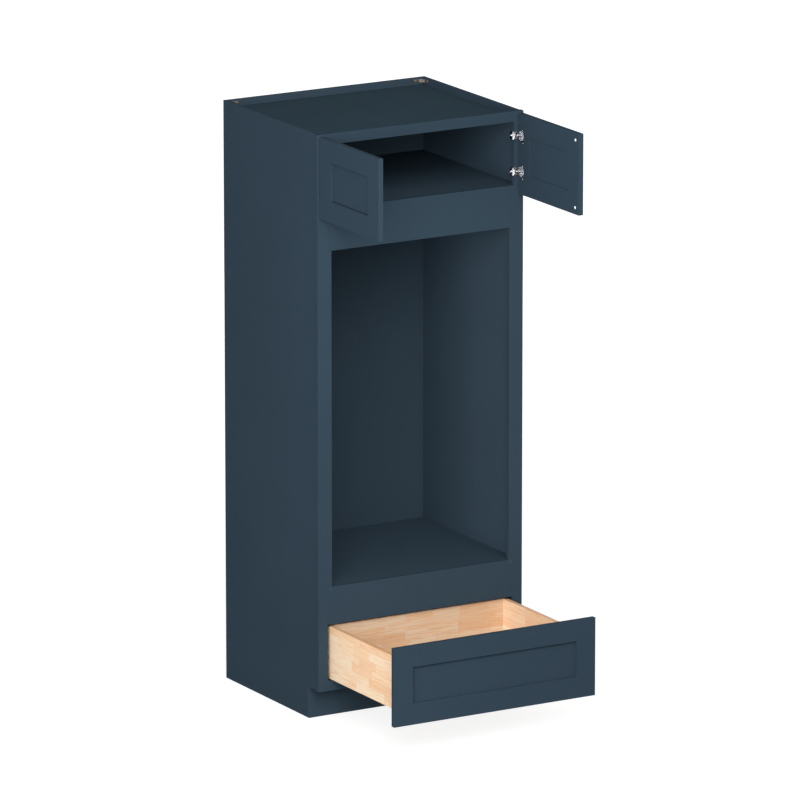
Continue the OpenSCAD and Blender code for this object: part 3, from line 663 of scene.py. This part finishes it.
# %% Which edges are free
SHARP_COSINE = math.cos(math.radians(32))
SHORTEST_EDGE = 0.003
HAIR = 0.0003
MERGE_DISTANCE = 1e-6
PLANE_DIGITS = 5
boxes = {name: [np.array(corner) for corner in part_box(name)] for name in nodes}


def touching(node, group):
    """The boxes of the group's other nodes that touch or overlap this node's box."""
    low, high = boxes[node]
    near = []
    for other in group:
        other_low, other_high = boxes[other]
        if other != node and (other_low < high + HAIR).all() and (other_high > low - HAIR).all():
            near.append((other_low, other_high))
    return near


def cut_at_neighbours(work, node, near):
    """Cuts the mesh by each plane of a neighbour's box that passes through this node's box."""
    low, high = boxes[node]
    for axis in (X, Y, Z):
        places = {round(float(corner[axis]), PLANE_DIGITS) for pair in near for corner in pair}
        for place in sorted(places):
            if low[axis] + 2 * HAIR < place < high[axis] - 2 * HAIR:
                point, normal = Vector(), Vector()
                point[axis], normal[axis] = place, 1
                everything = work.verts[:] + work.edges[:] + work.faces[:]
                bmesh.ops.bisect_plane(
                    work, geom=everything, dist=MERGE_DISTANCE, plane_co=point, plane_no=normal
                )


def is_sharp(edge):
    """Whether an edge has two faces that turn away from each other by more than the limit."""
    if len(edge.link_faces) != 2:
        return False
    first, second = edge.link_faces
    return first.normal @ second.normal < SHARP_COSINE


def is_free(edge, near, shortest):
    """Whether a sharp edge is an outer one that no neighbour's surface carries on."""
    if not is_sharp(edge) or not edge.is_convex or edge.calc_length() < shortest:
        return False
    first, second = (np.array(face.normal) for face in edge.link_faces)
    middle = np.array(edge.verts[0].co + edge.verts[1].co) / 2
    tests = (middle + HAIR * (second - first), middle + HAIR * (first - second))
    return not any(((low < t) & (t < high)).all() for low, high in near for t in tests)


print("an edge sharper than", round(math.degrees(math.acos(SHARP_COSINE))), "degrees is judged")

# %% [markdown]
# ## The eased copy
#
# Each copy takes its node's place: it rides on the same body, and the node is hidden. Its bevel is
# a live modifier with a fixed width, and a second modifier turns the normals so that the flat faces
# stay flat and only the narrow rounds catch the light.

# %% Eased copies
PAINT_EASE = 0.0007
WOOD_EASE = 0.001
PLASTIC_EASE = 0.0005
STEEL_EASE = 0.00025
HINGE_EASE = 0.00012
FLAT_ANGLE = math.radians(0.5)
slots = {s["node"]: s["material_slot"] for s in frame["record"]["subparts"]}


def finish_piece(piece, material, *stands_for):
    """Gives a piece its material, lets it ride on its node's body and stand for its nodes."""
    piece.data.materials.clear()
    piece.data.materials.append(material)
    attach(piece, nodes[stands_for[0]]["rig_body"])
    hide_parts(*stands_for)
    return piece


def eased(node, material, width, group=(), shortest=SHORTEST_EDGE, segments=2):
    """A copy of a node's solid, merged and with whole flat faces, its free edges rounded."""
    mesh = nodes[node].data.copy()
    mesh.name = f"{node}_eased"
    if "custom_normal" in mesh.attributes:
        mesh.attributes.remove(mesh.attributes["custom_normal"])
    mesh.shade_smooth()
    near = touching(node, group)
    work = bmesh.new()
    work.from_mesh(mesh)
    bmesh.ops.remove_doubles(work, verts=work.verts, dist=MERGE_DISTANCE)
    bmesh.ops.dissolve_limit(work, angle_limit=FLAT_ANGLE, verts=work.verts, edges=work.edges)
    cut_at_neighbours(work, node, near)
    weight = work.edges.layers.float.new("bevel_weight_edge")
    for edge in work.edges:
        free = is_free(edge, near, shortest)
        edge[weight] = 1.0 if free else 0.0
        edge.smooth = free or not is_sharp(edge)
    work.to_mesh(mesh)
    work.free()
    piece = new_object(mesh.name, mesh)
    bevel = piece.modifiers.new("eased", "BEVEL")
    bevel.width = width
    bevel.segments = segments
    bevel.limit_method = "WEIGHT"
    bevel.use_clamp_overlap = False
    bevel.face_strength_mode = "FSTR_ALL"
    flatten = piece.modifiers.new("flat_faces_stay_flat", "WEIGHTED_NORMAL")
    flatten.use_face_influence = True
    flatten.keep_sharp = True
    return finish_piece(piece, material, node)


def longest_axis(node):
    """The axis along which a node is longest, which is the way its grain runs."""
    return int(np.argmax(boxes[node][1] - boxes[node][0]))


painted = [n for n in nodes if slots[n] in ("blue_paint", "inside_paint")]
# Boards inside the case and the toe board get the lighter paint, which is painted light.
painted_light_boards = [n for n in painted if slots[n] == "inside_paint" or n == "toe_kick_board"]
for node in painted:
    if node == "top_panel":
        material = top_paint
    elif node.endswith("side_panel"):
        material = side_paint
    else:
        material = (inside_paint if node in painted_light_boards else paint)[longest_axis(node)]
    same_body = [n for n in painted if nodes[n]["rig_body"] == nodes[node]["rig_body"]]
    eased(node, material, PAINT_EASE, same_body)
print(len(painted), "painted boards,", len(painted_light_boards), "of them light")

# %% [markdown]
# ## Drawer box and plain hardware
#
# The boards of the drawer box are neighbours of each other, so their corner joints stay closed.
# Slides, hinges and locks are pressed or moulded, and have a much smaller round on their longer
# edges. On the hinges the short edges get it too, in a single step, because they glint there.

# %% Drawer box and plain hardware
for node, material in wood.items():
    eased(node, material, WOOD_EASE, wood)
for node in nodes:
    if "slide_" in node:
        eased(node, zinc, STEEL_EASE)
    elif node.endswith(("hinge_cups", "hinge_arms")):
        eased(node, nickel, HINGE_EASE, shortest=2 * HINGE_EASE, segments=1)
    elif "lock" in node and "stile" not in node:
        eased(node, grey_plastic, PLASTIC_EASE)
print(len(wood), "boards in the drawer box")

# %% [markdown]
# ## Surfaces from formulas
#
# The small parts are worked out as surfaces. A grid of points, rows by columns, is filled by a
# formula in numpy, all points at once. Each row is a closed ring, and the first and last rows may
# shrink to a point, which closes the ends. Faces join each point with its neighbours in the next
# row and column.
#
# Bumpers, screws and braces must sit exactly where the solids have them. A node such as the bumpers
# holds several separate solids, so its points are first sorted into solids: every point starts with
# its own number, and each triangle gives its corners the lowest of their numbers, until nothing
# changes.

# %% Grids and solids
COLUMNS = 48
GRID_MERGE_DISTANCE = 1e-7
GRID_SHARP_ANGLE = math.radians(40)
POINT_DIGITS = 6


def grid_piece(name, rings):
    """One mesh from many grids. rings has the shape (solids, rows, columns, 3)."""
    solids, rows, columns = rings.shape[:3]
    index = np.arange(solids * rows * columns).reshape(solids, rows, columns)
    after = np.roll(index, -1, axis=2)
    faces = np.stack([index[:, :-1], after[:, :-1], after[:, 1:], index[:, 1:]], axis=-1)
    mesh = bpy.data.meshes.new(name)
    mesh.from_pydata(rings.reshape(-1, 3).tolist(), [], faces.reshape(-1, 4).tolist())
    work = bmesh.new()
    work.from_mesh(mesh)
    bmesh.ops.remove_doubles(work, verts=work.verts, dist=GRID_MERGE_DISTANCE)
    bmesh.ops.recalc_face_normals(work, faces=work.faces)
    work.to_mesh(mesh)
    work.free()
    mesh.shade_smooth()
    mesh.set_sharp_from_angle(angle=GRID_SHARP_ANGLE)
    return new_object(name, mesh)


def solids_of(node):
    """The separate solids of a node, each as an array of its points."""
    mesh = nodes[node].data
    mesh.calc_loop_triangles()
    points = np.empty(len(mesh.vertices) * 3)
    mesh.vertices.foreach_get("co", points)
    corners = np.empty(len(mesh.loop_triangles) * 3, dtype=np.int32)
    mesh.loop_triangles.foreach_get("vertices", corners)
    rounded = np.round(points.reshape(-1, 3), POINT_DIGITS)
    merged, same = np.unique(rounded, axis=0, return_inverse=True)
    corners = same.reshape(-1)[corners].reshape(-1, 3)
    number = np.arange(len(merged))
    changed = True
    while changed:
        lowest = number.copy()
        np.minimum.at(lowest, corners, number[corners].min(axis=1, keepdims=True))
        changed = (lowest != number).any()
        number = lowest
    return [merged[number == n] for n in np.unique(number)]


def turned(radius, height, centre, axis, way):
    """Rings round a straight axis: each row is a circle of that radius at that height.

    A point is centre + way * height along the axis, and radius * cos and radius * sin of its angle
    along the other two. radius and height are arrays of (rows,) or (rows, columns). centre is where
    height is 0, and way, 1 or -1, says which way along the axis the height grows.
    """
    radius, height = (
        np.broadcast_to(np.atleast_2d(a.T).T, (len(a), COLUMNS)) for a in (radius, height)
    )
    angle = np.linspace(0, 2 * np.pi, COLUMNS, endpoint=False)
    rings = np.empty((*radius.shape, 3))
    rings[..., axis] = centre[axis] + way * height
    rings[..., (axis + 1) % 3] = centre[(axis + 1) % 3] + radius * np.cos(angle)
    rings[..., (axis + 2) % 3] = centre[(axis + 2) % 3] + radius * np.sin(angle)
    return rings


print("the cabinet has", len(solids_of("cabinet_screws")), "screws driven into the case")

# %% [markdown]
# ## Bumpers
#
# A bumper is a small cushion of clear rubber with a sticky back. It is cast in a round dish, so its
# top is domed and its edge is soft. A cylinder with a bevel would keep a flat top. Its outline is
# therefore a quarter of a superellipse, turned round its own axis: somewhere between an ellipse,
# which would be a pebble, and a box. It stays a hair lower than its solid, so that it doesn't cut
# into the frame when the drawer is shut.

# %% Bumpers
DOME_POWER = 2.4
DOME_ROWS = 12
PRESSED = 0.97


def dome(radius, height):
    """The outline of a dome: (r / radius)^p + (h / height)^p = 1, from the rim to the top.

    An angle t from 0 to a right angle gives r as cos(t)^(2/p) and h as sin(t)^(2/p). A flat base
    comes first.
    """
    t = np.linspace(0, np.pi / 2, DOME_ROWS)
    across = radius * np.maximum(np.cos(t), 0) ** (2 / DOME_POWER)
    up = height * np.sin(t) ** (2 / DOME_POWER)
    across[-1] = 0
    return np.concatenate([[0], across]), np.concatenate([[0], up])


def thin_axis(points):
    """The axis along which a solid is thinnest."""
    return int(np.argmin(np.ptp(points, axis=0)))


for node, back_piece in (
    ("left_door_bumpers", "left_door_panel"),
    ("right_door_bumpers", "right_door_panel"),
    ("drawer_bumpers", "drawer_front_panel"),
):
    discs = []
    for points in solids_of(node):
        low, high = points.min(axis=0), points.max(axis=0)
        axis = thin_axis(points)
        size = high - low
        base = (low + high) / 2
        way = 1 if base[axis] > np.mean(boxes[back_piece], axis=0)[axis] else -1
        base[axis] -= way * size[axis] / 2
        radius, height = dome(size[(axis + 1) % 3] / 2, PRESSED * size[axis])
        discs.append(turned(radius, height, base, axis, way))
    finish_piece(grid_piece(f"{node}_domed", np.array(discs)), bumper_rubber, node)
    print(node, len(discs))

# %% [markdown]
# ## Screws
#
# Every screw head has a cross recess for the driver. It could be cut out with a Boolean, but a
# polar grid does it without one: the head's height is lowered wherever the point lies in one of the
# two arms of the cross. Round heads clamp the hinges and braces, and flat heads are sunk in the
# cups and slides. Each screw's place and direction come from its solid: its longest side is its
# axis, and the end with the wider ring is the head. The screws of the braces are dull like them.

# %% Screws
HEAD_RINGS = 14
FLAT_HEAD = 0.0014
CROWN = 0.45
CROWN_POWER = 2.2
POINT = 1.5
ARM_LENGTH = 0.62
ARM_HALF_WIDTH = 0.17
ARM_SIDE_SLOPE = 0.08
ARM_END_SLOPE = 0.12
RECESS_DEPTH = 0.0011


def ease(value):
    """A smooth step: 0 below 0, 1 above 1, and 3 v^2 - 2 v^3 between."""
    value = np.clip(value, 0, 1)
    return value * value * (3 - 2 * value)


def recess(share):
    """How deep the cross is at each point of the head, 0 to 1.

    share is the radius over the head's. A point is in an arm where it lies close to one of the two
    lines of the cross and not too far out, and a smooth step makes each of these limits soft.
    """
    angle = np.linspace(0, 2 * np.pi, COLUMNS, endpoint=False)
    across, up = np.abs(share[:, None] * np.cos(angle)), np.abs(share[:, None] * np.sin(angle))
    narrow, far = np.minimum(across, up), np.maximum(across, up)
    in_width = ease((ARM_HALF_WIDTH - narrow) / ARM_SIDE_SLOPE)
    return in_width * ease((ARM_LENGTH - far) / ARM_END_SLOPE)


def screw_rings(points):
    """A screw as rings from the middle of its head to its point.

    With s from 0 to 1 across the head, a round head's height is crown * (sqrt(1 - s^p) - 1), less
    the recess. The shank is a straight cylinder that ends in a cone.
    """
    low, high = points.min(axis=0), points.max(axis=0)
    axis = int(np.argmax(high - low))
    centre = (low + high) / 2
    far = np.linalg.norm(np.delete(points - centre, axis, axis=1), axis=1)
    head_radius, shank_radius = far.max(), far[far > HAIR].min()
    levels = points[far > head_radius - HAIR, axis]
    way = 1 if levels.mean() > centre[axis] else -1
    flat = np.ptp(levels) < HAIR
    head_height = FLAT_HEAD if flat else np.ptp(levels)
    share = np.linspace(0, 1, HEAD_RINGS)
    crown = 0 if flat else CROWN * head_height
    top = crown * (np.sqrt(1 - share**CROWN_POWER) - 1)
    length = (high - low)[axis]
    outline = np.array([
        [shank_radius if flat else head_radius, -head_height],
        [shank_radius, -head_height],
        [shank_radius, POINT * shank_radius - length],
        [0, -length],
    ])
    radius = np.concatenate([share * head_radius, outline[:, 0]])
    height = np.concatenate([
        top[:, None] - RECESS_DEPTH * recess(share),
        np.repeat(outline[:, 1:], COLUMNS, axis=1),
    ])
    centre[axis] = high[axis] if way > 0 else low[axis]
    return turned(radius, height, centre, axis, way)


for node in nodes:
    if node.endswith("screws"):
        screws = np.array([screw_rings(points) for points in solids_of(node)])
        piece = finish_piece(grid_piece(f"{node}_recessed", screws), nickel, node)
        piece.data.materials.append(dull_steel)
        middles = np.empty(len(piece.data.polygons) * 3)
        piece.data.polygons.foreach_get("center", middles)
        in_brace = (middles[Z::3] > boxes["corner_braces"][0][Z]).astype(np.int32)
        piece.data.polygons.foreach_set("material_index", in_brace)
        print(node, len(screws))

# %% [markdown]
# ## Corner braces
#
# A strip of steel crosses each rear corner of the open well in the top, with a tab along each wall.
# It was bent from flat strip, so its bends are round. Its section, a small rectangle with worn
# corners, is carried along a path: straight tab, bend, straight, bend, straight tab. Each bend is a
# quadratic curve that starts and ends on the straight parts. Where the strip runs is measured on
# the solid: how thick it is, and how far from the corner its tabs start.

# %% Corner braces
BEND_REACH = 0.004
BEND_STEPS = 9
STRIP_ROUND = 0.0003
TOUCH = 0.0001


def bent_path(corners, reach, steps):
    """A path through those corners, each replaced by a curve.

    With p and q at that reach before and after a corner c, the curve is
    (1 - t)^2 p + 2 t (1 - t) c + t^2 q, for t from 0 to 1.
    """
    t = np.linspace(0, 1, steps)[:, None]
    parts = [corners[:1]]
    for before, corner, after in zip(corners, corners[1:], corners[2:]):
        p = corner + reach * (before - corner) / np.linalg.norm(before - corner)
        q = corner + reach * (after - corner) / np.linalg.norm(after - corner)
        parts.append((1 - t) ** 2 * p + 2 * t * (1 - t) * corner + t**2 * q)
    return np.concatenate([*parts, corners[-1:]])


def strip(path, thick, low, high):
    """A flat strip on edge, along a path in plan, from one height to another.

    The section's corners are cut by STRIP_ROUND. Each ring is the section, placed across the path:
    a point in plan is the path's point plus the section's first number times the direction across,
    and its height is the section's second number. The two ends shrink to a point.
    """
    t, r = thick / 2, STRIP_ROUND
    section = np.array([
        [-t, low + r], [-t, high - r], [r - t, high], [t - r, high],
        [t, high - r], [t, low + r], [t - r, low], [r - t, low],
    ])
    along = np.gradient(path, axis=0)
    along /= np.linalg.norm(along, axis=1, keepdims=True)
    across = np.stack([-along[:, 1], along[:, 0]], axis=1)
    rings = np.empty((len(path), len(section), 3))
    rings[..., :2] = path[:, None] + section[None, :, :1] * across[:, None]
    rings[..., 2] = section[:, 1]
    ends = [np.broadcast_to(ring.mean(axis=0), ring.shape)[None] for ring in (rings[0], rings[-1])]
    return np.concatenate([ends[0], rings, ends[1]])


braces = []
for points in solids_of("corner_braces"):
    low, high = points.min(axis=0), points.max(axis=0)
    side = -1 if low[X] < 0 else 1
    wall = low[X] if side < 0 else high[X]
    on_back = points[:, Y] > high[Y] - TOUCH
    near = np.abs(points[on_back, X] - wall).min()
    thick = np.abs(points[np.abs(points[:, Y] - low[Y]) < TOUCH, X] - wall).max()
    size = (high - low)[X]
    plan = np.array([[size, thick / 2], [near, thick / 2], [thick / 2, near], [thick / 2, size]])
    path = bent_path(plan, BEND_REACH, BEND_STEPS)
    place = np.stack([wall - side * path[:, 0], high[Y] - path[:, 1]], axis=1)
    braces.append(strip(place, thick, low[Z], high[Z]))
finish_piece(grid_piece("corner_braces_bent", np.array(braces)), dull_steel, "corner_braces")
print(len(braces), "braces,", round(thick / MM, 2), "mm thick")
